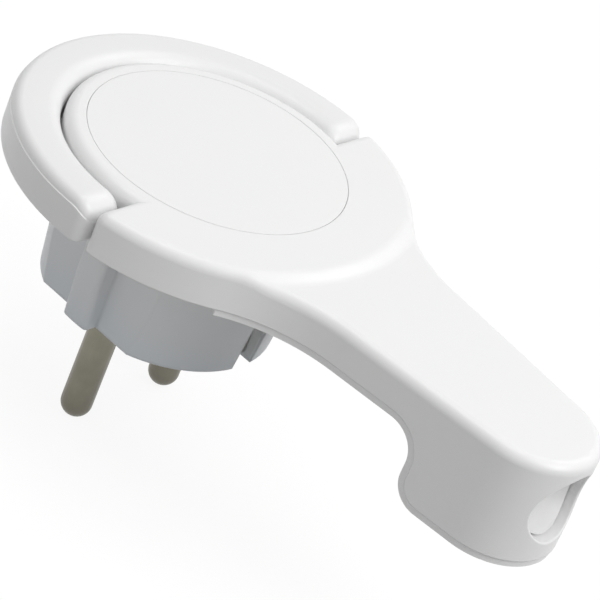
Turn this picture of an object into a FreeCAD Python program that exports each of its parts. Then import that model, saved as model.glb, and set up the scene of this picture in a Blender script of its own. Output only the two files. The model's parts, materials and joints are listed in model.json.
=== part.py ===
import FreeCAD, Part
import math
import os
from FreeCAD import Placement, Rotation, Vector
import Sketcher

# Type F mains plug: a flat round head with a lift-up pull bail on one half of its rim, and a
# side arm that ends in a deep block for the cable entry. Millimetres.
# Origin midway between the two contact pins on the engagement face, +Z up through the head,
# +X along the arm towards the cable entry, the two contact pins on Y.

doc = FreeCAD.newDocument("type_f_plug")

SIZES = [
    # Interface with the socket outlet
    ("PinRadius", 2.4),
    ("PinPlace", 9.5),
    ("PinLength", 19.5),
    ("PinCollar", 0.4),
    ("EarthInset", 1.6),
    ("WaistGrow", 0.8),
    ("WaistLevel", 8.3),
    ("RootGrow", 1.1),
    ("GuideWall", 1.1),
    ("GuideRibWidth", 4.8),
    ("EarthSlotSlack", 0.15),
    ("EarthLipLevel", 1.1),
    ("EarthLead", 1.05),
    ("FaceEdge", 0.35),
    ("RibEdge", 0.7),
    # Head
    ("HeadShift", 0.6),
    ("HeadEdge", 1.6),
    ("BackOverhang", 3.4),
    ("StepPlace", 4.45),
    ("StepCorner", 1.2),
    ("Wall", 2.0),
    ("Roof", 3.0),
    # Arm and its deep end block
    ("NeckRadius", 24.0),
    ("ArmWall", 3.108),
    ("ArmTaper", 5.654),
    ("ArmLength", 42.25),
    ("ArmDrop", 0.7),
    ("RampSetback", 2.95),
    ("RampShift", 8.0),
    ("RampRun", 2.9),
    ("BlockRoom", 0.96),
    ("BlockHollow", 4.6),
    ("BlockToe", 4.2),
    ("RoomFront", 2.0),
    ("RoomSide", 1.95),
    ("EntryWall", 6.8),
    # Arm cover
    ("CoverThickness", 1.1),
    ("CoverInset", 0.25),
    # Cap
    ("CapMargin", 2.8),
    ("CapThickness", 1.4),
    ("CapGap", 0.06),
    ("PegRadius", 1.4),
    ("PegInset", 4.5),
    # Pull bail and its hinge
    ("BailGap", 0.7),
    ("BailWidth", 7.1),
    ("BailProud", 0.35),
    ("BailLift", 0.1),
    ("BailSoftEdge", 3.0),
    ("BailEdge", 1.8),
    ("BailEndGap", 0.5),
    ("HingeDepth", 3.25),
    ("TrunnionRadius", 1.15),
    ("TrunnionShort", 0.2),
    ("HingeFit", 0.05),
    # Plug body
    ("FaceWall", 5.0),
    ("TerminalRoom", 0.7),
    ("CarrierLedge", 0.8),
    ("SlotWall", 1.0),
    ("FlangeThickness", 1.6),
    ("FlangeGap", 0.2),
    ("FlangeCover", 0.24),
    ("LedgeUnder", 1.5),
    ("LedgeThickness", 1.0),
    ("LedgeClear", 5.2),
    ("BossRadius", 3.2),
    ("BossDrop", 0.4),
    ("PinFit", 0.05),
    ("PartFit", 0.1),
    # Contact pins' terminal heads
    ("TerminalRadius", 3.4),
    ("TerminalHeight", 12.5),
    ("TerminalRecess", 1.8),
    ("WireHoleDepth", 6.5),
    ("WireHoleRadius", 1.5),
    # Earth bracket on its carrier
    ("CarrierThickness", 2.8),
    ("StripThickness", 0.8),
    ("StripWidth", 3.6),
    ("StripBend", 1.3),
    ("EyeWidth", 3.0),
    ("EarthScrewInset", 4.9),
    ("WasherRadius", 3.0),
    ("WasherThickness", 0.6),
    # Screws
    ("TerminalScrewHead", 2.3),
    ("TerminalScrewRise", 1.5),
    ("TerminalScrewShank", 1.5),
    ("TerminalScrewLength", 3.2),
    ("EarthScrewHead", 2.6),
    ("EarthScrewRise", 1.4),
    ("EarthScrewLength", 3.8),
    ("ScrewRoom", 0.24),
    ("BodyScrewHead", 2.9),
    ("BodyScrewRise", 2.0),
    ("BodyScrewShank", 1.6),
    ("BodyScrewEnd", 0.44),
    ("BodyScrewSink", 3.0),
    ("SmallScrewHead", 2.0),
    ("SmallScrewRise", 1.0),
    ("SmallScrewShank", 1.0),
    ("SmallScrewLength", 5.5),
    ("RootScrewLength", 4.4),
    ("PilotEnd", 0.2),
    ("ClampScrewHead", 1.6),
    ("ClampScrewRise", 1.4),
    ("ClampScrewShank", 1.1),
    ("ClampScrewLength", 8.5),
    ("SlotWidth", 0.6),
    ("SlotDepth", 0.6),
    # Cable entry and clamp
    ("EntryRadius", 5.6),
    ("EntryHeadroom", 0.05),
    ("MouthEdge", 0.25),
    ("BlankRecess", 1.6),
    ("BlankGap", 0.25),
    ("BlankFace", 2.0),
    ("BlankCollar", 0.25),
    ("CollarThickness", 1.0),
    ("CableRadius", 4.0),
    ("SaddleDepth", 1.46),
    ("ClampGap", 0.8),
    ("ClampHalf", 2.5),
    ("ClampRoom", 2.7),
    ("ClampThickness", 3.5),
    ("ClampInset", 1.7),
    ("PostRadius", 2.2),
    ("RootScrewReach", 5.65),
    ("RootBossRadius", 2.4),
    ("EndScrewSetback", 5.6),
    ("EndScrewSide", 0.7),
]

# Sizes and places that follow from others by a named clearance
FOLLOWING = {
    "PinRootRadius": "PinRadius + PinCollar",
    "CavityRadius": "PinPlace + TerminalRadius + TerminalRoom",
    "CarrierRoom": "CavityRadius + CarrierLedge",
    "EarthSlot": "CarrierRoom + SlotWall",
    "EarthFace": "EarthSlot + StripThickness",
    "EarthSlotWidth": "StripWidth + EarthSlotSlack + EarthSlotSlack",
    "GuideFlat": "CarrierRoom + GuideWall",
    "FaceRadius": "EarthFace + EarthInset",
    "WaistRadius": "FaceRadius + WaistGrow",
    "RootRadius": "FaceRadius + RootGrow",
    "BackRadius": "RootRadius + BackOverhang",
    "BailInner": "BackRadius + BailGap",
    "BailRadius": "BailInner + BailWidth",
    "HeadRadius": "BailRadius - BailProud",
    "LedgeRadius": "BailInner + LedgeUnder",
    "CapRadius": "BackRadius - CapMargin",
    "PegCircle": "CapRadius - PegInset",
    "RampReach": "HeadRadius - RampSetback",
    "ArmReach": "HeadRadius + ArmLength",
    "EndFace": "HeadShift + ArmReach",
    "RoomLength": "CollarThickness + ClampGap + ClampHalf + ClampHalf + ClampRoom",
    "BlockFront": "ArmReach - EntryWall - RoomLength - RoomFront - CoverThickness",
    "RoomHalfWidth": "EntryRadius + BlankCollar + RoomSide",
    "ArmHalfWidth": "RoomHalfWidth + ArmWall",
    "ClampPlace": "EndFace - EntryWall - CollarThickness - ClampGap - ClampHalf",
    "ClampSpread": "RoomHalfWidth - ClampInset",
    "EndScrewPlace": "EndFace - EndScrewSetback",
    "EndScrewSpread": "EntryRadius + EndScrewSide",
    "RootScrewPlace": "HeadShift + HeadRadius + RootScrewReach",
    "EarthScrewPlace": "CarrierRoom - EarthScrewInset",
    "BarEyeRadius": "BossRadius + EyeWidth",
    "TerminalTop": "FaceWall + TerminalHeight",
    "WireHoleLevel": "TerminalTop - WireHoleDepth",
    "CarrierSeat": "TerminalTop + PartFit",
    "BossTop": "CarrierSeat - BossDrop",
    "BarLevel": "CarrierSeat + CarrierThickness",
    "FlangeTop": "BarLevel + StripThickness + FlangeCover",
    "HeadBottom": "FlangeTop - FlangeThickness",
    "BailBottom": "HeadBottom + BailLift",
    "WasherTop": "BarLevel + StripThickness + WasherThickness",
    "Ceiling": "WasherTop + EarthScrewRise + ScrewRoom",
    "HeadTop": "Ceiling + Roof",
    "EntryLevel": "Ceiling - EntryHeadroom - BlankCollar - EntryRadius",
    "ClampTop": "EntryLevel - CableRadius + SaddleDepth",
    "ClampFoot": "ClampTop - ClampThickness",
    "BlockBottom": "ClampFoot - ClampScrewRise - BlockRoom",
    "CoverFoot": "BlockBottom - CoverThickness",
    "HingeSetback": "HingeDepth + BailEndGap",
    "HingeX": "HeadShift + StepPlace - HingeSetback",
    "HingeZ": "HeadTop - HingeDepth",
    "TrunnionTip": "BackRadius - Wall + TrunnionShort",
    "BodyScrewLength": "Ceiling - BodyScrewSink - BodyScrewEnd",
}

sheet = doc.addObject("Spreadsheet::Sheet", "Sizes")
for row, (alias, number) in enumerate(SIZES, start=1):
    sheet.set(f"A{row}", alias)
    sheet.set(f"B{row}", str(number))
    sheet.setAlias(f"B{row}", alias)
doc.recompute()


def val(name):
    """A size: read from the sheet, or added up from the sizes it follows."""
    if name not in FOLLOWING:
        return float(sheet.get(name))
    total, sign = 0.0, 1.0
    for word in FOLLOWING[name].split():
        if word in ("+", "-"):
            sign = 1.0 if word == "+" else -1.0
        else:
            total += sign * val(word)
    return total


def bound(text):
    """An expression in the sheet's names, with every name pointed at the sheet."""
    words = []
    for word in text.replace("(", "( ").replace(")", " )").split():
        if word in FOLLOWING:
            words.append(f"( {bound(FOLLOWING[word])} )")
        else:
            words.append("Sizes." + word if word in ALIASES else word)
    return " ".join(words)


ALIASES = {alias for alias, number in SIZES}
PEG_COUNT = 3
# How far the shapes that cut reach past what they cut
PAST = 5.0


# Feature helpers

def new_body(label, place=("0", "0", "0"), turn=None):
    body = doc.addObject("PartDesign::Body", label)
    body.Label = label
    if turn is not None:
        body.Placement = Placement(Vector(0, 0, 0), turn)
    for axis, text in zip("xyz", place):
        body.setExpression(f"Placement.Base.{axis}", bound(text))
    return body


def sketch_on(body, name, role="XY_Plane", at=("0", "0", "0")):
    """A sketch on one of the body's own origin planes, moved in the plane and off it."""
    sketch = body.newObject("Sketcher::SketchObject", f"{body.Label}_{name}")
    plane = [item for item in body.Origin.OriginFeatures if item.Role == role]
    sketch.AttachmentSupport = [(plane[0], "")]
    sketch.MapMode = "FlatFace"
    for axis, text in zip("xyz", at):
        sketch.setExpression(f"AttachmentOffset.Base.{axis}", bound(text))
    return sketch


def circle(sketch, radius):
    """A circle about the sketch's own origin."""
    index = sketch.addGeometry(Part.Circle(Vector(0, 0, 0), Vector(0, 0, 1), 1.0), False)
    sketch.addConstraint(Sketcher.Constraint("Coincident", index, 3, -1, 1))
    dimension = sketch.addConstraint(Sketcher.Constraint("Radius", index, 1.0))
    sketch.setExpression(f"Constraints[{dimension}]", bound(radius))


def slab(sketch, width, height):
    """A rectangle centred on the sketch's own origin."""
    corners = [Vector(-1, -1, 0), Vector(1, -1, 0), Vector(1, 1, 0), Vector(-1, 1, 0)]
    sides = []
    for start, end in zip(corners, corners[1:] + corners[:1]):
        sides.append(sketch.addGeometry(Part.LineSegment(start, end), False))
    bottom, right, top, left = sides
    for one, other in ((bottom, right), (right, top), (top, left), (left, bottom)):
        sketch.addConstraint(Sketcher.Constraint("Coincident", one, 2, other, 1))
    for side in (bottom, top):
        sketch.addConstraint(Sketcher.Constraint("Horizontal", side))
    for side in (right, left):
        sketch.addConstraint(Sketcher.Constraint("Vertical", side))
    sketch.addConstraint(Sketcher.Constraint("Symmetric", bottom, 1, right, 2, -1, 1))
    across = sketch.addConstraint(Sketcher.Constraint("DistanceX", bottom, 1, bottom, 2, 2.0))
    upward = sketch.addConstraint(Sketcher.Constraint("DistanceY", right, 1, right, 2, 2.0))
    sketch.setExpression(f"Constraints[{across}]", bound(width))
    sketch.setExpression(f"Constraints[{upward}]", bound(height))


def trace(sketch, start, steps):
    """A loop from start: a step (x, y) is straight, a step (mid x, mid y, x, y) is an arc."""
    here = Vector(start[0], start[1], 0)
    for step in steps:
        there = Vector(step[-2], step[-1], 0)
        if len(step) == 2:
            piece = Part.LineSegment(here, there)
        else:
            piece = Part.Arc(here, Vector(step[0], step[1], 0), there)
        sketch.addGeometry(piece, False)
        here = there


def pad(body, name, sketch, length, symmetric=False, downward=False):
    feature = body.newObject("PartDesign::Pad", f"{body.Label}_{name}")
    feature.Profile = sketch
    feature.setExpression("Length", bound(length))
    feature.Reversed = downward
    if symmetric:
        feature.SideType = "Symmetric"
    return feature


def pocket(body, name, sketch, length=None, forward=False):
    """A cut of a given length, or through everything both ways; forward is along the normal."""
    feature = body.newObject("PartDesign::Pocket", f"{body.Label}_{name}")
    feature.Profile = sketch
    feature.Reversed = forward
    if length is None:
        feature.Type = "ThroughAll"
        feature.SideType = "Symmetric"
    else:
        feature.setExpression("Length", bound(length))
    return feature


def spin(body, name, sketch, kind="Revolution"):
    """A full turn of the sketch about its own vertical axis."""
    feature = body.newObject(f"PartDesign::{kind}", f"{body.Label}_{name}")
    feature.Profile = sketch
    feature.ReferenceAxis = (sketch, ["V_Axis"])
    feature.Angle = 360.0
    return feature


def ring_of(body, name, original, centre):
    """The cap's pegs, or their holes, spread evenly about the centre of a sketch."""
    feature = body.newObject("PartDesign::PolarPattern", f"{body.Label}_{name}")
    feature.Originals = [original]
    feature.Axis = (centre, ["N_Axis"])
    feature.Angle = 360.0
    feature.Occurrences = PEG_COUNT
    body.Tip = feature
    return feature


def soften(body, name, base, test, radius, kind="Fillet"):
    """A fillet or chamfer on the edges of base that pass the test."""
    doc.recompute()
    names = [f"Edge{i}" for i, edge in enumerate(base.Shape.Edges, start=1) if test(edge)]
    feature = body.newObject(f"PartDesign::{kind}", f"{body.Label}_{name}")
    feature.Base = (base, names)
    feature.setExpression("Radius" if kind == "Fillet" else "Size", bound(radius))
    doc.recompute()
    return feature


def points_on(edge, count=7):
    first, last = edge.ParameterRange
    return [edge.valueAt(first + (last - first) * i / (count - 1)) for i in range(count)]


def level(edge, height, slack=0.01):
    return all(abs(point.z - height) < slack for point in points_on(edge))


def upright(edge):
    places = points_on(edge)
    return all(math.hypot(p.x - places[0].x, p.y - places[0].y) < 0.001 for p in places)


# The plan of head and arm, seen from above, about the head's centre

def arm_normal():
    taper = math.radians(val("ArmTaper"))
    return math.sin(taper), math.cos(taper)


def side_place(inset, along):
    """Half-width of the arm's straight side at a distance along the arm."""
    normal_x, normal_y = arm_normal()
    gauge = (along - val("BlockFront")) * normal_x
    return (val("ArmHalfWidth") * normal_y - gauge - inset) / normal_y


def neck_centre():
    """Centre of the concave neck arc that joins the round head to the arm's straight side."""
    normal_x, normal_y = arm_normal()
    reach = val("HeadRadius") + val("NeckRadius")
    base_x = val("BlockFront") + normal_x * val("NeckRadius")
    base_y = val("ArmHalfWidth") + normal_y * val("NeckRadius")
    along = base_x * normal_y - base_y * normal_x
    clear = base_x * normal_x + base_y * normal_y
    back = math.sqrt(reach ** 2 - clear ** 2)
    travel = back - along
    return base_x + travel * normal_y, base_y - travel * normal_x


def end_centre():
    """Centre of the arm's round end, which touches both straight sides."""
    normal_x, normal_y = arm_normal()
    gauge = val("BlockFront") * normal_x + val("ArmHalfWidth") * normal_y
    return (val("ArmReach") - gauge) / (1 - normal_x)


def on_circle(centre, radius, angle):
    return centre[0] + radius * math.cos(angle), centre[1] + radius * math.sin(angle)


def arm_side_steps(inset):
    """Half of the arm's plan, from the neck arc's start on the head to the end's apex."""
    neck = neck_centre()
    neck_radius = val("NeckRadius") + inset
    normal = math.atan2(arm_normal()[1], arm_normal()[0])
    from_angle = math.atan2(neck[1], neck[0]) + math.pi
    to_angle = normal + math.pi
    middle = on_circle(neck, neck_radius, (from_angle + to_angle) / 2)
    foot = on_circle(neck, neck_radius, to_angle)
    tip = (end_centre(), 0.0)
    tip_radius = val("ArmReach") - end_centre() - inset
    shoulder = on_circle(tip, tip_radius, normal)
    quarter = on_circle(tip, tip_radius, normal / 2)
    apex = on_circle(tip, tip_radius, 0.0)
    return on_circle(neck, neck_radius, from_angle), middle, foot, shoulder, quarter, apex


def shifted(steps):
    """The same steps with x counted from the pins' line instead of the head's centre."""
    moved = []
    for step in steps:
        moved.append(tuple(v + val("HeadShift") if i % 2 == 0 else v for i, v in enumerate(step)))
    return moved


def arm_loop(inset):
    """Steps along the whole arm, from one neck arc's start round the end to the other's."""
    start, middle, foot, shoulder, quarter, apex = arm_side_steps(inset)
    steps = [middle + foot, shoulder, quarter + apex]
    steps += [(quarter[0], -quarter[1], shoulder[0], -shoulder[1]), (foot[0], -foot[1])]
    steps += [(middle[0], -middle[1], start[0], -start[1])]
    return start, steps


def housing_loop(inset):
    """Plan of the housing: round head, arm, and the smaller round half inside the bail."""
    start, steps = arm_loop(inset)
    radius = val("HeadRadius") - inset
    back = val("BackRadius") - inset
    step_x = val("StepPlace") + inset
    rim_angle = math.acos(step_x / radius)
    half = (rim_angle + math.atan2(start[1], start[0])) / 2
    corner = on_circle((0, 0), radius, rim_angle)
    middle = on_circle((0, 0), radius, half)
    inner_y = math.sqrt(back ** 2 - step_x ** 2)
    loop = [middle + start] + steps
    loop += [(middle[0], -middle[1], corner[0], -corner[1])]
    loop += [(step_x, -inner_y), (-back, 0.0, step_x, inner_y), corner]
    return shifted([corner])[0], shifted(loop)


def cover_loop(inset):
    """Plan of the arm cover: the arm from an arc that is concentric with the head."""
    start, steps = arm_loop(inset)
    root = val("HeadRadius") - val("Wall")
    angle = math.atan2(start[1], start[0])
    inner = on_circle((0, 0), root, angle)
    loop = [start] + steps + [(inner[0], -inner[1]), (root, 0.0, inner[0], inner[1])]
    return shifted([inner])[0], shifted(loop)


def block_loop(from_x):
    """Plan of the arm's outer end beyond a place along it."""
    shoulder, quarter, apex = arm_side_steps(0.0)[3:]
    edge = (from_x, side_place(0.0, from_x))
    loop = [shoulder, quarter + apex, (quarter[0], -quarter[1], shoulder[0], -shoulder[1])]
    loop += [(edge[0], -edge[1]), edge]
    return shifted([edge])[0], shifted(loop)


def underside_loop(offset, low):
    """The open space under the arm, in the X-Z plane, down to the level low."""
    arm_level = val("HeadBottom") - val("CoverThickness") + offset
    bottom = val("CoverFoot") + offset
    front = val("BlockFront") + offset
    hollow = val("BlockHollow") + offset
    toe = val("BlockToe") - offset
    sine = math.sqrt(0.5)
    centre = (front - hollow, arm_level - hollow)
    heel = (front + toe, bottom + toe)
    start = (0.0, arm_level)
    loop = [(centre[0], arm_level)]
    loop += [(centre[0] + hollow * sine, centre[1] + hollow * sine, front, centre[1])]
    loop += [(front, heel[1]), (heel[0] - toe * sine, heel[1] - toe * sine, heel[0], bottom)]
    loop += [(heel[0], low), (0.0, low), start]
    return shifted([start])[0], shifted(loop)


# Top housing: head, arm and end block as one moulded shell, open below

def make_top_housing():
    body = new_body("top_housing")
    plan = sketch_on(body, "plan", at=("0", "0", "HeadBottom"))
    trace(plan, *housing_loop(0.0))
    pad(body, "slab", plan, "HeadTop - HeadBottom")

    # The raised round top runs down to the arm in a soft S, a little outside the rim's circle
    ramp = sketch_on(body, "ramp", "XZ_Plane", ("HeadShift - RampShift", "0", "0"))
    inner = val("RampReach") + val("RampShift")
    run, drop, top = val("RampRun"), val("ArmDrop"), val("HeadTop")
    bend = (run ** 2 + drop ** 2) / (4 * drop)
    lift = bend - math.sqrt(bend ** 2 - (run / 4) ** 2)
    far, above = val("ArmReach") + val("RampShift") + PAST, top + PAST
    steps = [(inner + run / 4, top - lift, inner + run / 2, top - drop / 2)]
    steps += [(inner + run * 3 / 4, top - drop + lift, inner + run, top - drop)]
    steps += [(far, top - drop), (far, above), (inner, above), (inner, top)]
    trace(ramp, (inner, top), steps)
    spin(body, "ramp_cut", ramp, "Groove")

    deep_end = sketch_on(body, "deep_end", at=("0", "0", "BlockBottom"))
    trace(deep_end, *block_loop(val("BlockFront") - val("BlockHollow") - 2.0))
    pad(body, "block", deep_end, "HeadBottom - BlockBottom")
    under = sketch_on(body, "under", "XZ_Plane")
    trace(under, *underside_loop(val("CoverThickness"), 0.0))
    shape = pocket(body, "under_cut", under)

    top_level = val("HeadTop")
    shift = val("HeadShift")

    def rim_corner(edge):
        place = edge.Vertexes[0].Point
        radius = math.hypot(place.x - shift, place.y)
        return upright(edge) and abs(place.x - shift - val("StepPlace")) < 0.01 and radius > val("BailInner")

    shape = soften(body, "rim_corners", shape, rim_corner, "StepCorner")

    def top_edge(edge):
        low = top_level - val("ArmDrop") - 0.01
        places = points_on(edge)
        if not all(p.z > low for p in places):
            return False
        faces = shape.Shape.ancestorsOfType(edge, Part.Face)
        return any(abs(face.normalAt(*middle_of(face)).z) < 0.01 for face in faces)

    shape = soften(body, "rim_round", shape, top_edge, "HeadEdge")

    hollow = sketch_on(body, "hollow", at=("0", "0", "HeadBottom"))
    trace(hollow, *housing_loop(val("Wall")))
    pocket(body, "hollow_cut", hollow, "Ceiling - HeadBottom", forward=True)
    room = sketch_on(body, "room", at=("EndFace - EntryWall - RoomLength / 2", "0", "BlockBottom"))
    slab(room, "RoomLength", "2 * RoomHalfWidth")
    pocket(body, "room_cut", room, "Ceiling - BlockBottom", forward=True)

    cap_seat = sketch_on(body, "cap_seat", at=("HeadShift", "0", "HeadTop"))
    circle(cap_seat, "CapRadius")
    pocket(body, "cap_seat_cut", cap_seat, "CapThickness")
    peg = sketch_on(body, "peg_hole", at=("HeadShift - PegCircle", "0", "HeadTop"))
    circle(peg, "PegRadius + PinFit")
    ring_of(body, "peg_holes", pocket(body, "first_peg_hole", peg, "Roof"), cap_seat)

    entry = sketch_on(body, "entry", "YZ_Plane", ("0", "EntryLevel", "EndFace + Wall / 2"))
    circle(entry, "EntryRadius")
    shape = pocket(body, "entry_cut", entry, "EntryWall + Wall")

    def mouth_edge(edge):
        middle = val("EntryLevel")
        near = [abs(math.hypot(p.y, p.z - middle) - val("EntryRadius")) < 0.01 for p in points_on(edge)]
        return all(near) and edge.BoundBox.XMin > val("EndFace") - val("EntryWall") / 2

    soften(body, "mouth_round", shape, mouth_edge, "MouthEdge")

    for side, sign in (("left", "-1"), ("right", "1")):
        bore = sketch_on(body, f"hinge_{side}", "XZ_Plane",
                         ("HingeX", "HingeZ", f"{sign} * ( BackRadius + BailGap )"))
        circle(bore, "TrunnionRadius + HingeFit")
        pocket(body, f"hinge_cut_{side}", bore, "Wall + 2 * BailGap", forward=(side == "left"))

    bosses = [("body_boss", "0", "0", "BossRadius", "BossTop")]
    bosses += [("root_boss", "RootScrewPlace", "0", "RootBossRadius", "HeadBottom")]
    bosses += [("post_left", "ClampPlace", "-1 * ClampSpread", "PostRadius", "ClampTop")]
    bosses += [("post_right", "ClampPlace", "ClampSpread", "PostRadius", "ClampTop")]
    for name, x, y, radius, foot in bosses:
        boss = sketch_on(body, name, at=(x, y, foot))
        circle(boss, radius)
        pad(body, f"{name}_pad", boss, f"Ceiling - {foot} + PilotEnd")
    pilots = [("body_pilot", "0", "0", "BodyScrewShank", "BossTop", "Ceiling - BossTop")]
    pilots += [("root_pilot", "RootScrewPlace", "0", "SmallScrewShank", "HeadBottom",
                "RootScrewLength - CoverThickness + SmallScrewRise + PilotEnd")]
    for side, y in (("left", "-1 * ClampSpread"), ("right", "ClampSpread")):
        pilots += [(f"clamp_pilot_{side}", "ClampPlace", y, "ClampScrewShank", "ClampTop",
                    "ClampScrewLength - ClampThickness + PilotEnd")]
    for side, y in (("left", "-1 * EndScrewSpread"), ("right", "EndScrewSpread")):
        pilots += [(f"end_pilot_{side}", "EndScrewPlace", y, "SmallScrewShank", "BlockBottom",
                    "SmallScrewLength - CoverThickness + SmallScrewRise + PilotEnd")]
    for name, x, y, radius, foot, depth in pilots:
        pilot = sketch_on(body, name, at=(x, y, foot))
        circle(pilot, f"{radius} + PinFit")
        pocket(body, f"{name}_cut", pilot, depth, forward=True)
    return body


def middle_of(face):
    u_low, u_high, v_low, v_high = face.ParameterRange
    return (u_low + u_high) / 2, (v_low + v_high) / 2


# Centre cap: the round inlay in the top, flush with it, on three press-in pegs

def make_centre_cap():
    body = new_body("centre_cap", ("HeadShift", "0", "HeadTop - CapThickness"))
    disc = sketch_on(body, "disc")
    circle(disc, "CapRadius - CapGap")
    pad(body, "plate", disc, "CapThickness")
    peg = sketch_on(body, "peg", at=("-1 * PegCircle", "0", "0"))
    circle(peg, "PegRadius")
    first = pad(body, "first_peg", peg, "Roof - CapThickness", downward=True)
    ring_of(body, "pegs", first, disc)
    return body


# Pull bail: half a ring round the head's smaller half, with a trunnion at each end

def make_pull_bail():
    body = new_body("pull_bail")
    section = sketch_on(body, "section", "XZ_Plane", ("HeadShift", "0", "0"))
    inner, outer, top = val("BailInner"), val("BailRadius"), val("HeadTop")
    low = val("BailBottom")
    soft, edge = val("BailSoftEdge"), val("BailEdge")
    sine = math.sqrt(0.5)
    steps = [(inner, top - soft)]
    steps += [(inner + soft * (1 - sine), top - soft * (1 - sine), inner + soft, top)]
    steps += [(outer - edge, top)]
    steps += [(outer - edge * (1 - sine), top - edge * (1 - sine), outer, top - edge)]
    steps += [(outer, low), (inner, low)]
    trace(section, (inner, low), steps)
    spin(body, "ring", section)

    far = val("BailRadius") + PAST
    end_x = val("StepPlace") - val("BailEndGap")
    hinge_x = val("StepPlace") - val("HingeSetback")
    hinge_z = top - val("HingeDepth")
    nose = end_x - hinge_x
    cut = sketch_on(body, "end_profile", "XZ_Plane", ("HeadShift", "0", "0"))
    above, below = top + PAST, low - PAST
    steps = [(hinge_x, hinge_z + nose)]
    steps += [(hinge_x + nose * sine, hinge_z + nose * sine, end_x, hinge_z)]
    steps += [(end_x, below), (far, below), (far, above), (hinge_x, above)]
    trace(cut, (hinge_x, above), steps)
    pocket(body, "end_cut", cut)
    for side, sign, down in (("left", "1", False), ("right", "-1", True)):
        pin = sketch_on(body, f"trunnion_{side}", "XZ_Plane",
                        ("HingeX", "HingeZ", f"{sign} * TrunnionTip"))
        circle(pin, "TrunnionRadius")
        length = "BailInner + TrunnionRadius - TrunnionTip"
        pad(body, f"trunnion_pad_{side}", pin, length, downward=down)
    return body


# Plug body: the round socket side with guide flats, earth slots and a closing flange

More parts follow.
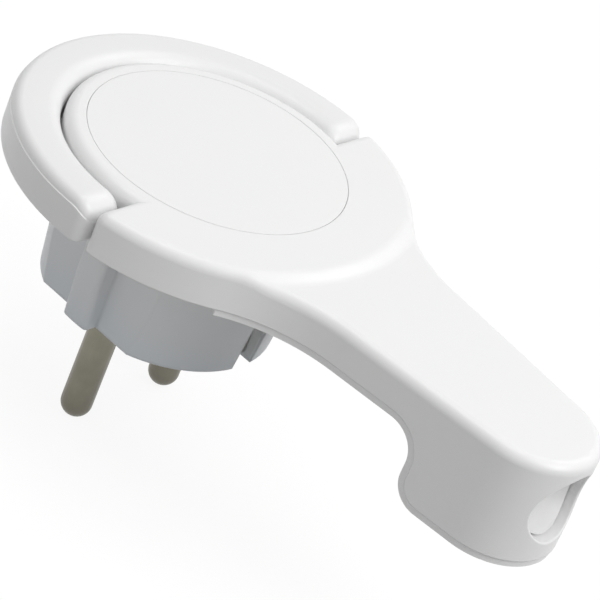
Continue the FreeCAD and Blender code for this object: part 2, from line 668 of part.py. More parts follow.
def make_plug_body():
    body = new_body("plug_body")
    profile = sketch_on(body, "profile", "XZ_Plane")
    bottom = val("HeadBottom")
    steps = [(val("FaceRadius"), 0.0), (val("WaistRadius"), val("WaistLevel"))]
    steps += [(val("RootRadius"), bottom), (0.0, bottom), (0.0, 0.0)]
    trace(profile, (0.0, 0.0), steps)
    spin(body, "drum", profile)

    for side, y in (("left", -1), ("right", 1)):
        for end, x in (("back", -1), ("front", 1)):
            place = (f"{x} * ( GuideRibWidth + RootRadius ) / 2",
                     f"{y} * ( GuideFlat + RootRadius / 2 )", "0")
            flat = sketch_on(body, f"flat_{side}_{end}", at=place)
            slab(flat, "RootRadius", "RootRadius")
            pocket(body, f"flat_cut_{side}_{end}", flat, "HeadBottom", forward=True)
    for end, x in (("back", -1), ("front", 1)):
        place = (f"{x} * ( EarthSlot + RootRadius / 2 )", "0", "0")
        slot = sketch_on(body, f"earth_slot_{end}", at=place)
        slab(slot, "RootRadius", "EarthSlotWidth")
        shape = pocket(body, f"earth_slot_cut_{end}", slot, "HeadBottom", forward=True)

    def lead_edge(edge):
        return level(edge, 0.0) and all(abs(abs(p.x) - val("EarthSlot")) < 0.01 for p in points_on(edge))

    shape = soften(body, "earth_lead", shape, lead_edge, "EarthLead", "Chamfer")
    rib_x = val("GuideRibWidth") / 2

    def rib_edge(edge):
        places = points_on(edge)
        return all(abs(abs(p.x) - rib_x) < 0.01 and abs(p.y) > val("GuideFlat") + 0.5 for p in places)

    shape = soften(body, "rib_round", shape, rib_edge, "RibEdge")

    def face_edge(edge):
        places = points_on(edge)
        radius = math.hypot(places[3].x, places[3].y)
        return level(edge, 0.0) and edge.Length > 1.0 and radius > val("GuideFlat")

    soften(body, "face_round", shape, face_edge, "FaceEdge")

    flange = sketch_on(body, "flange", at=("0", "0", "HeadBottom"))
    inset = val("Wall") + val("FlangeGap")
    step_x = val("StepPlace") + inset
    rim = val("HeadRadius") - inset
    back = val("BackRadius") - inset
    rim_y = math.sqrt(rim ** 2 - step_x ** 2)
    back_y = math.sqrt(back ** 2 - step_x ** 2)
    steps = [(rim, 0.0, step_x, rim_y), (step_x, back_y)]
    steps += [(-back, 0.0, step_x, -back_y), (step_x, -rim_y)]
    trace(flange, *shift_loop((step_x, -rim_y), steps))
    pad(body, "flange_pad", flange, "FlangeThickness")

    ledge = sketch_on(body, "ledge", at=("0", "0", "HeadBottom - LedgeThickness"))
    edge_x = val("StepPlace") - val("HingeSetback") - val("LedgeClear")
    reach = val("LedgeRadius")
    edge_y = math.sqrt(reach ** 2 - edge_x ** 2)
    steps = [(-reach, 0.0, edge_x, -edge_y), (edge_x, edge_y)]
    trace(ledge, *shift_loop((edge_x, edge_y), steps))
    pad(body, "ledge_pad", ledge, "LedgeThickness")

    rooms = [("cavity", "CavityRadius", "FaceWall"), ("carrier_room", "CarrierRoom", "CarrierSeat")]
    for name, radius, floor in rooms:
        room = sketch_on(body, name, at=("0", "0", floor))
        circle(room, radius)
        pocket(body, f"{name}_cut", room, f"FlangeTop - {floor} + FlangeCover", forward=True)
    channel = sketch_on(body, "channel", at=("0", "0", "BarLevel"))
    slab(channel, "2 * ( EarthFace + PartFit )", "StripWidth + 4 * PartFit")
    pocket(body, "channel_cut", channel, "FlangeTop - BarLevel + FlangeCover", forward=True)
    for end, x in (("back", -1), ("front", 1)):
        place = (f"{x} * ( EarthFace - StripBend / 2 )", "0", "HeadBottom - LedgeThickness")
        leg = sketch_on(body, f"leg_hole_{end}", at=place)
        slab(leg, "StripBend + 2 * PartFit", "StripWidth + 4 * PartFit")
        pocket(body, f"leg_hole_cut_{end}", leg, "LedgeThickness + FlangeThickness", forward=True)

    boss = sketch_on(body, "boss", at=("0", "0", "BodyScrewSink"))
    circle(boss, "BossRadius")
    pad(body, "boss_pad", boss, "BossTop - BodyScrewSink")
    for side, sign in (("left", -1), ("right", 1)):
        seat = sketch_on(body, f"pin_seat_{side}", at=("0", f"{sign} * PinPlace", "0"))
        circle(seat, "PinRootRadius + PinFit")
        pocket(body, f"pin_seat_cut_{side}", seat, "FaceWall", forward=True)
    sink = sketch_on(body, "screw_sink")
    circle(sink, "BodyScrewHead + 2 * PartFit")
    pocket(body, "screw_sink_cut", sink, "BodyScrewSink", forward=True)
    bore = sketch_on(body, "screw_bore")
    circle(bore, "BodyScrewShank + PartFit")
    pocket(body, "screw_bore_cut", bore, "BossTop + 1", forward=True)
    return body


def shift_loop(start, steps):
    return shifted([start])[0], shifted(steps)


# Arm cover: one bent plate that closes the arm and the block from below

def make_arm_cover():
    body = new_body("arm_cover")
    foot = "CoverFoot"
    plan = sketch_on(body, "plan", at=("0", "0", foot))
    trace(plan, *cover_loop(val("CoverInset")))
    pad(body, "blank", plan, f"HeadBottom - {foot}")
    under = sketch_on(body, "under", "XZ_Plane")
    trace(under, *underside_loop(0.0, 0.0))
    pocket(body, "under_cut", under)

    inside = sketch_on(body, "inside", "XZ_Plane")
    start, steps = underside_loop(val("CoverThickness"), 0.0)
    high = val("HeadTop") + PAST
    far = val("EndFace") + PAST
    curve = steps[:4]
    bottom = curve[-1][-1]
    trace(inside, start, curve + [(far, bottom), (far, high), (start[0], high), start])
    pocket(body, "inside_cut", inside)

    places = [("root", "RootScrewPlace", "0", "HeadBottom - CoverThickness")]
    for side, sign in (("left", -1), ("right", 1)):
        places += [(f"end_{side}", "EndScrewPlace", f"{sign} * EndScrewSpread", foot)]
    for name, x, y, low in places:
        hole = sketch_on(body, f"hole_{name}", at=(x, y, low))
        circle(hole, "SmallScrewShank + PartFit")
        pocket(body, f"hole_cut_{name}", hole, "CoverThickness + 1", forward=True)
        cone = sketch_on(body, f"sink_{name}", "XZ_Plane", (x, low, f"-1 * ( {y} )"))
        head = val("SmallScrewHead") + val("PartFit") / 2
        neck = val("SmallScrewShank") + val("PartFit") / 2
        rise = val("SmallScrewRise")
        trace(cone, (0.0, -0.2), [(head, -0.2), (head, 0.0), (neck, rise), (0.0, rise), (0.0, -0.2)])
        spin(body, f"sink_cut_{name}", cone, "Groove")
    return body


# Contact pins: solid turned pins with a round tip and a screw terminal on the inner end

def make_contact_pin(label, sign):
    body = new_body(label, ("0", f"{sign} * PinPlace", "0"))
    profile = sketch_on(body, "profile", "XZ_Plane")
    radius, length, root = val("PinRadius"), val("PinLength"), val("PinRootRadius")
    wall, head, top = val("FaceWall"), val("TerminalRadius"), val("TerminalTop")
    sine = math.sqrt(0.5)
    steps = [(radius * sine, radius * (1 - sine) - length, radius, radius - length)]
    steps += [(radius, 0.0), (root, 0.0), (root, wall), (head, wall), (head, top)]
    steps += [(0.0, top), (0.0, -length)]
    trace(profile, (0.0, -length), steps)
    spin(body, "turned", profile)
    recess = sketch_on(body, "recess", at=("0", "0", "TerminalTop"))
    circle(recess, "TerminalScrewHead + PartFit")
    pocket(body, "recess_cut", recess, "TerminalRecess")
    thread = sketch_on(body, "thread", at=("0", "0", "TerminalTop"))
    circle(thread, "TerminalScrewShank + PinFit")
    pocket(body, "thread_cut", thread, "TerminalTop - WireHoleLevel")
    wire = sketch_on(body, "wire_hole", "YZ_Plane", ("0", "WireHoleLevel", "0"))
    circle(wire, "WireHoleRadius")
    pocket(body, "wire_hole_cut", wire)
    return body


# Pin carrier: the insulating plate that holds the terminal heads down and carries the earth bar

def make_pin_carrier():
    body = new_body("pin_carrier", ("0", "0", "CarrierSeat"))
    disc = sketch_on(body, "disc")
    circle(disc, "CarrierRoom - PartFit")
    pad(body, "plate", disc, "BarLevel - CarrierSeat")
    holes = [("boss_hole", "0", "0", "BossRadius + 5 * PartFit")]
    holes += [("access_left", "0", "-1 * PinPlace", "TerminalScrewHead + 2 * PartFit")]
    holes += [("access_right", "0", "PinPlace", "TerminalScrewHead + 2 * PartFit")]
    holes += [("wire_left", "EarthScrewPlace", "-2 * PinPlace / 3", "WireHoleRadius + PartFit")]
    holes += [("wire_right", "EarthScrewPlace", "2 * PinPlace / 3", "WireHoleRadius + PartFit")]
    holes += [("earth_pilot", "EarthScrewPlace", "0", "TerminalScrewShank + PinFit")]
    for name, x, y, radius in holes:
        hole = sketch_on(body, name, at=(x, y, "0"))
        circle(hole, radius)
        pocket(body, f"{name}_cut", hole)
    return body


# Earth bracket: one bent strip, its bar on the carrier and a contact leg down each earth slot

def make_earth_bracket():
    body = new_body("earth_bracket")
    strip = sketch_on(body, "strip", "XZ_Plane")
    outer, thick, bend = val("EarthFace"), val("StripThickness"), val("StripBend")
    low, top = val("EarthLipLevel"), val("BarLevel") + val("StripThickness")
    inner, under = outer - thick, top - thick
    sine = math.sqrt(0.5)
    big, small = bend * (1 - sine), (bend - thick) * (1 - sine)
    steps = [(-outer, top - bend), (-outer + big, top - big, -outer + bend, top)]
    steps += [(outer - bend, top), (outer - big, top - big, outer, top - bend), (outer, low)]
    steps += [(inner, low), (inner, top - bend)]
    steps += [(inner - small, under - small, outer - bend, under), (-outer + bend, under)]
    steps += [(-inner + small, under - small, -inner, top - bend), (-inner, low), (-outer, low)]
    trace(strip, (-outer, low), steps)
    pad(body, "strip_pad", strip, "StripWidth", symmetric=True)
    eyes = [("centre_eye", "0", "BarEyeRadius"), ("earth_eye", "EarthScrewPlace", "WasherRadius")]
    for name, x, radius in eyes:
        eye = sketch_on(body, name, at=(x, "0", "BarLevel"))
        circle(eye, radius)
        pad(body, f"{name}_pad", eye, "StripThickness")
    holes = [("centre_hole", "0", "BossRadius + 7 * PartFit")]
    holes += [("earth_hole", "EarthScrewPlace", "TerminalScrewShank + PartFit")]
    for name, x, radius in holes:
        hole = sketch_on(body, name, at=(x, "0", "BarLevel"))
        circle(hole, radius)
        pocket(body, f"{name}_cut", hole, "StripThickness", forward=True)
    return body


def make_earth_washer():
    body = new_body("earth_washer", ("EarthScrewPlace", "0", "BarLevel + StripThickness"))
    ring = sketch_on(body, "ring")
    circle(ring, "WasherRadius")
    circle(ring, "TerminalScrewShank + PartFit")
    pad(body, "plate", ring, "WasherThickness")
    return body


# Screws: head below its seat at z 0, shank up +Z, one straight driver slot

def make_screw(label, place, head, rise, shank, length, head_up=False, countersunk=False):
    turn = Rotation(Vector(1, 0, 0), 180) if head_up else None
    body = new_body(label, place, turn)
    profile = sketch_on(body, "profile", "XZ_Plane")
    head_radius, head_rise, shank_radius = val(head), val(rise), val(shank)
    tip = val(length)
    chamfer = shank_radius / 4
    steps = [(head_radius, -head_rise)]
    steps += [(shank_radius, 0.0)] if countersunk else [(head_radius, 0.0), (shank_radius, 0.0)]
    steps += [(shank_radius, tip - chamfer), (shank_radius - chamfer, tip), (0.0, tip)]
    steps += [(0.0, -head_rise)]
    trace(profile, (0.0, -head_rise), steps)
    spin(body, "turned", profile)
    slot = sketch_on(body, "slot", at=("0", "0", f"-1 * {rise}"))
    slab(slot, f"3 * {head}", "SlotWidth")
    pocket(body, "slot_cut", slot, "SlotDepth", forward=True)
    return body


# Cable clamp: a bar with a saddle, drawn up against two posts by two screws

def make_clamp_bar():
    body = new_body("clamp_bar", ("ClampPlace", "0", "ClampFoot"))
    plate = sketch_on(body, "plate")
    slab(plate, "2 * ClampHalf", "2 * ( RoomHalfWidth - 2 * PartFit )")
    pad(body, "bar", plate, "ClampThickness")
    saddle = sketch_on(body, "saddle", "YZ_Plane", ("0", "EntryLevel - ClampFoot", "0"))
    circle(saddle, "CableRadius")
    pocket(body, "saddle_cut", saddle)
    for side, sign in (("left", -1), ("right", 1)):
        hole = sketch_on(body, f"hole_{side}", at=("0", f"{sign} * ClampSpread", "0"))
        circle(hole, "ClampScrewShank + PartFit")
        pocket(body, f"hole_cut_{side}", hole)
    return body


# Entry blank: a cupped plug in the cable bore, collared inside, its face bowed as the arm's end

def make_entry_blank():
    body = new_body("entry_blank", ("HeadShift + ArmReach - EntryWall", "0", "EntryLevel"))
    stem = sketch_on(body, "stem", "YZ_Plane")
    circle(stem, "EntryRadius - BlankGap")
    pad(body, "stem_pad", stem, "EntryWall - BlankRecess")
    collar = sketch_on(body, "collar", "YZ_Plane", ("0", "0", "-1 * CollarThickness"))
    circle(collar, "EntryRadius + BlankCollar")
    pad(body, "collar_pad", collar, "CollarThickness")
    bow = sketch_on(body, "bow")
    back = val("HeadShift") + end_centre() - val("EndFace") + val("EntryWall")
    face = val("EntryWall") - val("BlankRecess") - back
    aside = val("EntryRadius")
    edge = back + math.sqrt(face ** 2 - aside ** 2)
    far = val("EntryWall")
    steps = [(back + face, 0.0, edge, aside), (far, aside), (far, -aside), (edge, -aside)]
    trace(bow, (edge, -aside), steps)
    pocket(body, "bow_cut", bow)
    cup = sketch_on(body, "cup", "YZ_Plane", ("0", "0", "-1 * CollarThickness"))
    circle(cup, "EntryRadius - 4 * BlankGap")
    depth = "CollarThickness + EntryWall - BlankRecess - BlankFace"
    pocket(body, "cup_cut", cup, depth, forward=True)
    return body


def make_all():
    parts = [make_top_housing(), make_centre_cap(), make_pull_bail(), make_plug_body()]
    parts += [make_arm_cover(), make_pin_carrier(), make_earth_bracket(), make_earth_washer()]
    parts += [make_clamp_bar(), make_entry_blank()]
    for side, sign in (("left", -1), ("right", 1)):
        parts.append(make_contact_pin(f"contact_pin_{side}", sign))
        parts.append(make_screw(f"terminal_screw_{side}",
                                ("0", f"{sign} * PinPlace", "TerminalTop - TerminalRecess"),
                                "TerminalScrewHead", "TerminalScrewRise", "TerminalScrewShank",
                                "TerminalScrewLength", head_up=True))
        parts.append(make_screw(f"clamp_screw_{side}",
                                ("ClampPlace", f"{sign} * ClampSpread", "ClampFoot"),
                                "ClampScrewHead", "ClampScrewRise", "ClampScrewShank",
                                "ClampScrewLength"))
        parts.append(make_screw(f"cover_screw_{side}",
                                ("EndScrewPlace", f"{sign} * EndScrewSpread",
                                 "CoverFoot + SmallScrewRise"),
                                "SmallScrewHead", "SmallScrewRise", "SmallScrewShank",
                                "SmallScrewLength", countersunk=True))
    parts.append(make_screw("cover_screw_root",
                            ("RootScrewPlace", "0", "HeadBottom - CoverThickness + SmallScrewRise"),
                            "SmallScrewHead", "SmallScrewRise", "SmallScrewShank",
                            "RootScrewLength", countersunk=True))
    parts.append(make_screw("earth_screw",
                            ("EarthScrewPlace", "0", "WasherTop"),
                            "EarthScrewHead", "EarthScrewRise", "TerminalScrewShank",
                            "EarthScrewLength", head_up=True))
    parts.append(make_screw("body_screw", ("0", "0", "BodyScrewSink"), "BodyScrewHead",
                            "BodyScrewRise", "BodyScrewShank", "BodyScrewLength"))
    return parts


parts = make_all()
doc.recompute()

for item in doc.Objects:
    if "Invalid" in item.State or "Error" in item.State:
        raise RuntimeError(f"{item.Label} failed: {item.State}")
    if item.TypeId in ("PartDesign::Pocket", "PartDesign::Groove"):
        if item.BaseFeature.Shape.Volume - item.Shape.Volume < 1e-4:
            raise RuntimeError(f"{item.Label} cuts nothing")
for part in parts:
    if part.Shape.isNull() or not part.Shape.isValid() or len(part.Shape.Solids) != 1:
        raise RuntimeError(f"{part.Label} is not one valid solid")

os.makedirs("parts", exist_ok=True)
for part in parts:
    part.Shape.exportStep(f"parts/{part.Label}.step")
    print(part.Label, round(part.Shape.Volume, 2))
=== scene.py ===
import json
import math

import bmesh
import bpy
from mathutils import Matrix, Vector


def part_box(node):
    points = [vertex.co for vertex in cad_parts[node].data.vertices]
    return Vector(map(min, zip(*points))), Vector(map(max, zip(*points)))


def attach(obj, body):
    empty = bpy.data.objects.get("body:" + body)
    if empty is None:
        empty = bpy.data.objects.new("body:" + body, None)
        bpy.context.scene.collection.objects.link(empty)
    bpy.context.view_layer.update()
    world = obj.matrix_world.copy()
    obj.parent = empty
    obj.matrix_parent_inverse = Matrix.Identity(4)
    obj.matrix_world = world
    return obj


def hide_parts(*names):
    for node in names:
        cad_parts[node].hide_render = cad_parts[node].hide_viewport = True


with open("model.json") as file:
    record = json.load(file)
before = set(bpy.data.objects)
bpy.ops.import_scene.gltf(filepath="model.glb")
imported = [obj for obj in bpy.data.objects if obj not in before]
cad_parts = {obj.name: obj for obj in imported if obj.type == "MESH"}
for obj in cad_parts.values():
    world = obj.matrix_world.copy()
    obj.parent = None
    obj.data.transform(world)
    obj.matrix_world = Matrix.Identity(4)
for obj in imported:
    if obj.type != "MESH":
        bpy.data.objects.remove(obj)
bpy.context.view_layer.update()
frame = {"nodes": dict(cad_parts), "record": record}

# A white mains plug with a lift-up pull bail and a side arm, in plain studio light.
# Metres, in the part's own frame: the pins stand on Y and point down, the arm runs along +X.
# Sizes of the shaped pieces are in millimetres, and become metres where their meshes are made.

MM = 0.001
FLOOR_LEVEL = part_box("contact_pin_left")[0].z
HEAD_X, HEAD_TOP = 0.6, 26.44
HEAD_CENTRE = Vector((HEAD_X * MM, 0.0, HEAD_TOP * MM))

# The photograph's view, fitted to the pins, the rim of the head and the arm
VIEW_AZIMUTH = 29.844
VIEW_ELEVATION = 31.692
VIEW_ROLL = 23.385
VIEW_DISTANCE = 429.548 * MM
VIEW_SLIDE_RIGHT = 11.447 * MM
VIEW_SLIDE_UP = -21.093 * MM
FOCAL_PIXELS = 3047.242
IMAGE_PIXELS = 600.0
SENSOR = 36.0
NEAR_CLIP, FAR_CLIP = 0.01, 20.0


def add_object(name, data):
    thing = bpy.data.objects.new(name, data)
    bpy.context.scene.collection.objects.link(thing)
    return thing


def make_camera():
    azimuth, elevation, roll = (math.radians(v) for v in (VIEW_AZIMUTH, VIEW_ELEVATION, VIEW_ROLL))
    level = math.cos(elevation)
    back = Vector((math.sin(azimuth) * level, -math.cos(azimuth) * level, math.sin(elevation)))
    flat_right = Vector((math.cos(azimuth), math.sin(azimuth), 0.0))
    flat_up = back.cross(flat_right)
    right = flat_right * math.cos(roll) + flat_up * math.sin(roll)
    up = flat_up * math.cos(roll) - flat_right * math.sin(roll)
    data = bpy.data.cameras.new("camera")
    data.sensor_width = SENSOR
    data.lens = FOCAL_PIXELS / IMAGE_PIXELS * SENSOR
    data.clip_start, data.clip_end = NEAR_CLIP, FAR_CLIP
    camera = add_object("camera", data)
    turn = Matrix((right, up, back)).transposed().to_4x4()
    place = HEAD_CENTRE + back * VIEW_DISTANCE + right * VIEW_SLIDE_RIGHT + up * VIEW_SLIDE_UP
    camera.matrix_world = Matrix.Translation(place) @ turn
    bpy.context.scene.camera = camera


make_camera()


# Node trees

class Nodes:
    """Builds the node tree of a material or a world, one call for each node."""

    def __init__(self, owner):
        self.owner = owner
        owner.use_nodes = True
        self.tree = owner.node_tree
        self.tree.nodes.clear()

    def add(self, kind, inputs=None, **settings):
        """A new node; an input takes a plain value, or a link where it is given a socket."""
        node = self.tree.nodes.new(kind)
        for name, value in settings.items():
            setattr(node, name, value)
        for name, value in (inputs or {}).items():
            if isinstance(value, bpy.types.NodeSocket):
                self.tree.links.new(value, node.inputs[name])
            else:
                node.inputs[name].default_value = value
        return node

    def place(self):
        return self.add("ShaderNodeTexCoord").outputs["Object"]

    def level(self):
        """Height above the engagement face, in metres."""
        return self.add("ShaderNodeSeparateXYZ", {0: self.place()}).outputs["Z"]

    def noise(self, scale, detail=3.0, roughness=0.5, vector=None):
        inputs = {"Vector": vector or self.place(), "Scale": scale, "Detail": detail,
                  "Roughness": roughness}
        return self.add("ShaderNodeTexNoise", inputs).outputs["Fac"]

    def span(self, value, low, high, from_low=0.3, from_high=0.7):
        """The value's range laid over another one; a noise's own range by default."""
        inputs = {"Value": value, "From Min": from_low, "From Max": from_high,
                  "To Min": low, "To Max": high}
        return self.add("ShaderNodeMapRange", inputs).outputs["Result"]

    def math(self, operation, first, second):
        return self.add("ShaderNodeMath", {0: first, 1: second}, operation=operation).outputs[0]

    def mix(self, factor, first, second):
        inputs = {0: factor, 6: first, 7: second}
        return self.add("ShaderNodeMix", inputs, data_type="RGBA").outputs[2]

    def bump(self, height, strength, distance, normal=None):
        inputs = {"Height": height, "Strength": strength, "Distance": distance}
        if normal is not None:
            inputs["Normal"] = normal
        return self.add("ShaderNodeBump", inputs).outputs["Normal"]

    def seen_white(self, plain, white, share=None):
        """The plain shader, and the white one for the camera and for what mirrors or shows through."""
        path = self.add("ShaderNodeLightPath").outputs
        mirrored = self.math("MAXIMUM", path["Is Glossy Ray"], path["Is Transmission Ray"])
        seen = self.math("MAXIMUM", path["Is Camera Ray"], mirrored)
        if share:
            seen = self.math("MULTIPLY", seen, share)
        inputs = {0: seen, 1: plain.outputs[0], 2: white.outputs[0]}
        return self.add("ShaderNodeMixShader", inputs).outputs[0]

    def finish(self, shader, output="ShaderNodeOutputMaterial"):
        self.add(output, {"Surface": shader})
        return self.owner


def grey(value):
    return (value, value, value, 1.0)


def shaded(colour, share):
    """The colour at a share of its brightness."""
    return tuple(part * share for part in colour[:3]) + (1.0,)


# Moulded plastic: slow mottling, a fine spark-eroded grain and an uneven gloss
MOTTLE_SCALE, GRAIN_SCALE, GLOSS_SCALE = 60.0, 2200.0, 900.0
MOTTLE_SHARE, MOTTLE_TONE = 0.012, grey(0.3)
GRAIN_DEPTH = 0.1 * MM
GLOSS_SWING = 0.04
EDGE_SAMPLES = 6
PLASTIC_IOR, PLASTIC_SPECULAR = 1.5, 0.5
# Height up to which the plug body is painted lighter, as painted light on its upper part
PAINTED_LIGHT_LEVEL = 16.0 * MM


def moulded_plastic(name, colour, roughness, grain=0.02, edge=None, root=None):
    """Moulded plastic; edge is the radius in millimetres that softens its corners' shading.

    root is the colour towards the head, painted in upwards as painted light and shade: the body is
    painted lighter where more light falls.
    """
    make = Nodes(bpy.data.materials.new(name))
    base = colour
    if root:
        # Painted light and shade: the colour turns to root with height, lighter upwards
        base = make.mix(make.span(make.level(), 0.0, 1.0, 0.0, PAINTED_LIGHT_LEVEL), colour, root)
    mottle = make.span(make.noise(MOTTLE_SCALE, detail=4.0), 0.0, MOTTLE_SHARE)
    tone = make.mix(mottle, base, MOTTLE_TONE)
    fine = make.noise(GRAIN_SCALE, detail=2.0)
    gloss = make.span(make.noise(GLOSS_SCALE), roughness - GLOSS_SWING, roughness + GLOSS_SWING)
    soft = None
    if edge:
        inputs = {"Radius": edge * MM}
        soft = make.add("ShaderNodeBevel", inputs, samples=EDGE_SAMPLES).outputs["Normal"]
    normal = make.bump(fine, grain, GRAIN_DEPTH, soft)
    shader = make.add("ShaderNodeBsdfPrincipled", {
        "Base Color": tone, "Roughness": gloss, "Normal": normal,
        "IOR": PLASTIC_IOR, "Specular IOR Level": PLASTIC_SPECULAR})
    return make.finish(shader.outputs["BSDF"])


# Plated metal: drawing lines along the piece, clouds of tarnish, and a colour that darkens towards the
# tips
STREAK_SCALE = (4000.0, 4000.0, 120.0)
STREAK_STRENGTH, STREAK_DEPTH = 0.12, 0.05 * MM
STREAK_SMOOTHER, STREAK_ROUGHER = 0.07, 0.09
TARNISH_SCALE = 260.0
TIP_DARK_SHARE, TIP_DARK_TONE = 0.55, 0.35


def plated_metal(name, colour, roughness, tarnish=0.72, metallic=1.0, tip_darkening=None):
    """Dull plated metal; tarnish is the brightness of its darker clouds.

    The last argument gives two levels in millimetres, between which the colour darkens downwards
    towards the tips.
    """
    make = Nodes(bpy.data.materials.new(name))
    stretched = make.add("ShaderNodeMapping", {"Vector": make.place(), "Scale": STREAK_SCALE})
    lines = make.noise(1.0, roughness=0.6, vector=stretched.outputs["Vector"])
    clouds = make.span(make.noise(TARNISH_SCALE, detail=4.0), 0.0, 1.0)
    tone = make.mix(clouds, shaded(colour, tarnish), colour)
    if tip_darkening:
        tip, start = (level * MM for level in tip_darkening)
        share = make.span(make.level(), TIP_DARK_SHARE, 0.0, tip, start)
        tone = make.mix(share, tone, shaded(colour, TIP_DARK_TONE))
    gloss = make.span(lines, roughness - STREAK_SMOOTHER, roughness + STREAK_ROUGHER)
    normal = make.bump(lines, STREAK_STRENGTH, STREAK_DEPTH)
    shader = make.add("ShaderNodeBsdfPrincipled", {
        "Base Color": tone, "Roughness": gloss, "Normal": normal, "Metallic": metallic})
    return make.finish(shader.outputs["BSDF"])


# One function for each material, named as its slot

def housing_white():
    return moulded_plastic("housing_white", grey(0.85), 0.34, edge=0.22)


def cap_white():
    return moulded_plastic("cap_white", grey(0.85), 0.36, grain=0.035, edge=0.12)


def bail_white():
    return moulded_plastic("bail_white", grey(0.82), 0.34)


def cover_white():
    return moulded_plastic("cover_white", grey(0.84), 0.38)


def blank_white():
    # Painted shade: the blank is painted darker than the other white parts, for the shade inside the
    # mouth it sits in
    return moulded_plastic("blank_white", grey(0.74), 0.45)


def body_grey_white():
    colour = (0.68, 0.715, 0.745, 1.0)
    # Painted light and shade: darker and bluish towards the pins, painted lighter up to grey 0.83
    # towards the head, where more light falls
    return moulded_plastic("body_grey_white", colour, 0.40, edge=1.0, root=grey(0.83))


def insulator():
    return moulded_plastic("insulator", (0.62, 0.61, 0.55, 1.0), 0.5)


def earth_metal():
    return plated_metal("earth_metal", (0.60, 0.58, 0.52, 1.0), 0.32)


def pin_nickel():
    colour = (0.30, 0.285, 0.225, 1.0)
    # The pins' colour darkens from the head down to their tips
    return plated_metal("pin_nickel", colour, 0.36, tarnish=0.8, metallic=0.7, tip_darkening=(-19.5, 0.0))


def screw_steel():
    return plated_metal("screw_steel", (0.55, 0.55, 0.56, 1.0), 0.34)


MAKERS = [housing_white, cap_white, bail_white, cover_white, blank_white, body_grey_white,
          insulator, earth_metal, pin_nickel, screw_steel]
MATERIALS = {maker.__name__: maker() for maker in MAKERS}

for entry in frame["record"]["subparts"]:
    node = frame["nodes"][entry["node"]]
    node.data.materials.clear()
    node.data.materials.append(MATERIALS[entry["material_slot"]])


# Shaped pieces, each in place of a plainer solid
WELD = 0.002 * MM
SHARP_ANGLE = 38.0
EDGE_HOLD = 0.1
HUB = 0.02


def arc(centre, radius, start, end, steps):
    """Points of an arc in a plane, angles in degrees."""
    angles = [math.radians(start + (end - start) * i / steps) for i in range(steps + 1)]
    return [(centre[0] + radius * math.cos(a), centre[1] + radius * math.sin(a)) for a in angles]


def circle(centre, radius, count):
    """Points of a whole circle, the first not repeated at its end."""
    return arc(centre, radius, 0, 360, count)[:-1]


def skin_faces(base, rows, count):
    """Faces over rings of count points, with both end rings capped."""
    faces = []
    for start in range(base, base + (rows - 1) * count, count):
        for col in range(count):
            after = (col + 1) % count
            faces.append((start + col, start + after, start + count + after, start + count + col))
    last = base + (rows - 1) * count
    faces.append(tuple(base + col for col in reversed(range(count))))
    faces.append(tuple(last + col for col in range(count)))
    return faces


def clean_normals(mesh):
    shape = bmesh.new()
    shape.from_mesh(mesh)
    bmesh.ops.remove_doubles(shape, verts=shape.verts, dist=WELD)
    bmesh.ops.recalc_face_normals(shape, faces=shape.faces)
    shape.to_mesh(mesh)
    shape.free()


def shaped(name, skins, slot, body, replaced):
    """A piece of one or more closed skins, each a list of rings of points in millimetres."""
    points, faces = [], []
    for rings in skins:
        faces += skin_faces(len(points), len(rings), len(rings[0]))
        points += [tuple(v * MM for v in point) for ring in rings for point in ring]
    mesh = bpy.data.meshes.new(name)
    mesh.from_pydata(points, [], faces)
    mesh.validate()
    clean_normals(mesh)
    mesh.shade_smooth()
    mesh.set_sharp_from_angle(angle=math.radians(SHARP_ANGLE))
    mesh.materials.append(MATERIALS[slot])
    piece = add_object(name, mesh)
    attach(piece, body)
    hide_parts(replaced)


# Pull bail: the hinged half ring, its ends rounded in plan, with a fine step on its outer side
BAIL_INNER, BAIL_OUTER = 22.65, 30.1
BAIL_FOOT, BAIL_TOP = 19.94, HEAD_TOP
BAIL_SOFT, BAIL_EDGE, BAIL_HEEL = 2.6, 1.4, 0.5
BAIL_LIP, BAIL_LIP_RUN = 0.16, 0.08
BAIL_END, BAIL_NOSE = 3.95, 3.25
BAIL_CORNER, BAIL_TOE = 2.0, 1.4
BAIL_TURN_STEP, NOSE_TURN_STEP = 2, 6
TRUNNION = 1.15
TRUNNION_X, TRUNNION_Z = 1.3, 23.19
TRUNNION_TIP = 20.5
TRUNNION_POINTS = 24


def bail_section():
    """Outline of the bail's section as (radius, level), from the inner foot round to the outer."""
    shoulder = BAIL_OUTER - BAIL_LIP
    line = arc((BAIL_INNER + BAIL_HEEL, BAIL_FOOT + BAIL_HEEL), BAIL_HEEL, 270, 180, 4)
    line += arc((BAIL_INNER + BAIL_SOFT, BAIL_TOP - BAIL_SOFT), BAIL_SOFT, 180, 90, 14)
    line += arc((shoulder - BAIL_EDGE, BAIL_TOP - BAIL_EDGE), BAIL_EDGE, 90, 0, 10)
    line.append((BAIL_OUTER, BAIL_TOP - BAIL_EDGE - BAIL_LIP_RUN))
    line += arc((BAIL_OUTER - BAIL_HEEL, BAIL_FOOT + BAIL_HEEL), BAIL_HEEL, 0, -90, 4)
    return line


def pulled_in(radius, distance):
    """How far a corner of this radius has drawn back, this far from its end."""
    rest = max(radius - distance, 0.0)
    return radius - math.sqrt(radius ** 2 - rest ** 2)


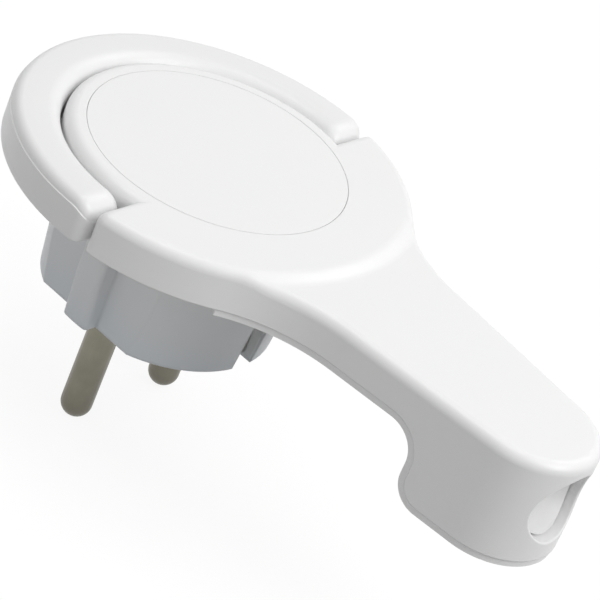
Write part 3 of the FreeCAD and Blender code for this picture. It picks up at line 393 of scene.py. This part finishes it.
def bail_ring(distance, turn=None, side=1):
    """One ring of the bail's skin, at an angle of its arc, or at a distance from one end."""
    drop, aside, rise = (pulled_in(r, distance) for r in (BAIL_NOSE, BAIL_CORNER, BAIL_TOE))
    width, height = BAIL_OUTER - BAIL_INNER, BAIL_TOP - BAIL_FOOT
    ring = []
    for radius, level in bail_section():
        radius = BAIL_INNER + aside + (radius - BAIL_INNER) * (1 - 2 * aside / width)
        level = BAIL_FOOT + rise + (level - BAIL_FOOT) * (1 - (drop + rise) / height)
        if turn is None:
            along = BAIL_END - distance
            ring.append((HEAD_X + along, side * math.sqrt(radius ** 2 - along ** 2), level))
        else:
            ring.append((HEAD_X + radius * math.cos(turn), radius * math.sin(turn), level))
    return ring


def trunnion(side):
    """Skin of the hinge pin at one end of the bail; its root lies inside the bail."""
    disc = circle((TRUNNION_X, TRUNNION_Z), TRUNNION, TRUNNION_POINTS)
    reach = (TRUNNION_TIP, TRUNNION_TIP + EDGE_HOLD, BAIL_INNER + TRUNNION)
    return [[(x, side * y, z) for x, z in disc] for y in reach]


def make_bail():
    turns = [math.radians(a) for a in range(90, -1, -NOSE_TURN_STEP)]
    nose = [BAIL_NOSE * (1 - math.sin(turn)) for turn in turns]
    rings = [bail_ring(distance) for distance in nose]
    rings += [bail_ring(BAIL_END, math.radians(a)) for a in range(90, 271, BAIL_TURN_STEP)]
    rings += [bail_ring(distance, side=-1) for distance in reversed(nose)]
    skins = [rings, trunnion(1), trunnion(-1)]
    shaped("pull_bail_moulding", skins, "bail_white", "bail", "pull_bail")


# Entry blank: a round plug in the arm's end, its face bowed like the end and dished
BLANK_RADIUS, BLANK_DISH, BLANK_DISH_RADIUS = 5.35, 3.6, 5.15
BLANK_FACE, BLANK_BOW, BLANK_LEVEL = 71.0, 8.32, 17.54
BLANK_COLLAR, BLANK_BACK, BLANK_COLLAR_FRONT = 5.85, 64.8, 65.8
BLANK_CUP, BLANK_CUP_END = 4.6, 66.4
BLANK_POINTS, BLANK_STEPS = 120, 20


def blank_circle(radius):
    return circle((0.0, BLANK_LEVEL), radius, BLANK_POINTS)


def blank_face_ring(radius):
    """One ring of the blank's face: dished by its radius, bowed back to both sides."""
    dish = BLANK_DISH * max(1 - (radius / BLANK_DISH_RADIUS) ** 2, 0.0)
    ring = []
    for y, z in blank_circle(radius):
        bow = BLANK_BOW - math.sqrt(BLANK_BOW ** 2 - y ** 2)
        ring.append((BLANK_FACE - dish - bow, y, z))
    return ring


def make_blank():
    back = [(BLANK_CUP_END, HUB), (BLANK_CUP_END, BLANK_CUP), (BLANK_BACK, BLANK_CUP),
            (BLANK_BACK, BLANK_COLLAR), (BLANK_COLLAR_FRONT, BLANK_COLLAR),
            (BLANK_COLLAR_FRONT, BLANK_RADIUS)]
    rings = [[(x, y, z) for y, z in blank_circle(radius)] for x, radius in back]
    for step in range(BLANK_STEPS + 1):
        rings.append(blank_face_ring(BLANK_RADIUS + (HUB - BLANK_RADIUS) * step / BLANK_STEPS))
    shaped("entry_blank_dished", [rings], "blank_white", "plug", "entry_blank")


make_bail()
make_blank()


# Stage: a pale floor that shows white to the camera and keeps a soft shadow
FLOOR_HALF = 3.0
FLOOR_TONE_SCALE, FLOOR_DARK, FLOOR_LIGHT = 40.0, grey(0.305), grey(0.315)
FLOOR_GLOW, FLOOR_GLOW_SHARE = 1.5, 0.6
WORLD_LIGHT = 0.5


def floor_material():
    """Pale matt floor; the camera sees it lifted to white, with what is left of its shadow."""
    make = Nodes(bpy.data.materials.new("floor_pale"))
    clouds = make.span(make.noise(FLOOR_TONE_SCALE), 0.0, 1.0)
    plain = make.add("ShaderNodeBsdfDiffuse", {"Color": make.mix(clouds, FLOOR_DARK, FLOOR_LIGHT)})
    white = make.add("ShaderNodeEmission", {"Color": grey(1.0), "Strength": FLOOR_GLOW})
    return make.finish(make.seen_white(plain, white, FLOOR_GLOW_SHARE))


def make_floor():
    mesh = bpy.data.meshes.new("floor")
    corners = [(-FLOOR_HALF, -FLOOR_HALF), (FLOOR_HALF, -FLOOR_HALF),
               (FLOOR_HALF, FLOOR_HALF), (-FLOOR_HALF, FLOOR_HALF)]
    mesh.from_pydata([(x, y, FLOOR_LEVEL) for x, y in corners], [], [(0, 1, 2, 3)])
    mesh.materials.append(floor_material())
    floor = add_object("floor", mesh)


def make_world():
    """Even soft light; the camera, and what mirrors the room, see it white."""
    world = bpy.data.worlds.new("studio")
    bpy.context.scene.world = world
    make = Nodes(world)
    light = make.add("ShaderNodeBackground", {"Color": grey(1.0), "Strength": WORLD_LIGHT})
    white = make.add("ShaderNodeBackground", {"Color": grey(1.0), "Strength": 1.0})
    make.finish(make.seen_white(light, white), "ShaderNodeOutputWorld")


def softbox(name, place, aim, size, power, height=None):
    """A rectangular lamp that the camera doesn't see, square unless a height is given."""
    data = bpy.data.lights.new(name, "AREA")
    data.shape = "RECTANGLE"
    data.size = size
    data.size_y = height or size
    data.energy = power
    lamp = add_object(name, data)
    lamp.location = place
    lamp.visible_camera = False
    lamp.rotation_mode = "QUATERNION"
    lamp.rotation_quaternion = (Vector(aim) - Vector(place)).to_track_quat("-Z", "Y")


make_floor()
make_world()

softbox("overhead", place=(-0.18, 0.02, 0.8), aim=(-0.18, 0.02, 0.0), size=0.4, power=1.05)
softbox("behind", place=(0.08, 0.52, 0.62), aim=(0.03, 0.0, 0.0), size=0.35, power=0.65, height=0.25)
softbox("right_top", place=(0.45, 0.08, 0.68), aim=(0.0, 0.0, 0.0), size=0.35, power=1.15)
softbox("end_side", place=(0.64, 0.1, 0.48), aim=(0.05, 0.0, 0.0), size=0.35, power=1.7)
softbox("front_low", place=(0.0, -0.21, 0.0), aim=(0.0, 0.0, 0.012), size=0.14, power=0.044)

bpy.context.scene.view_settings.view_transform = "Standard"
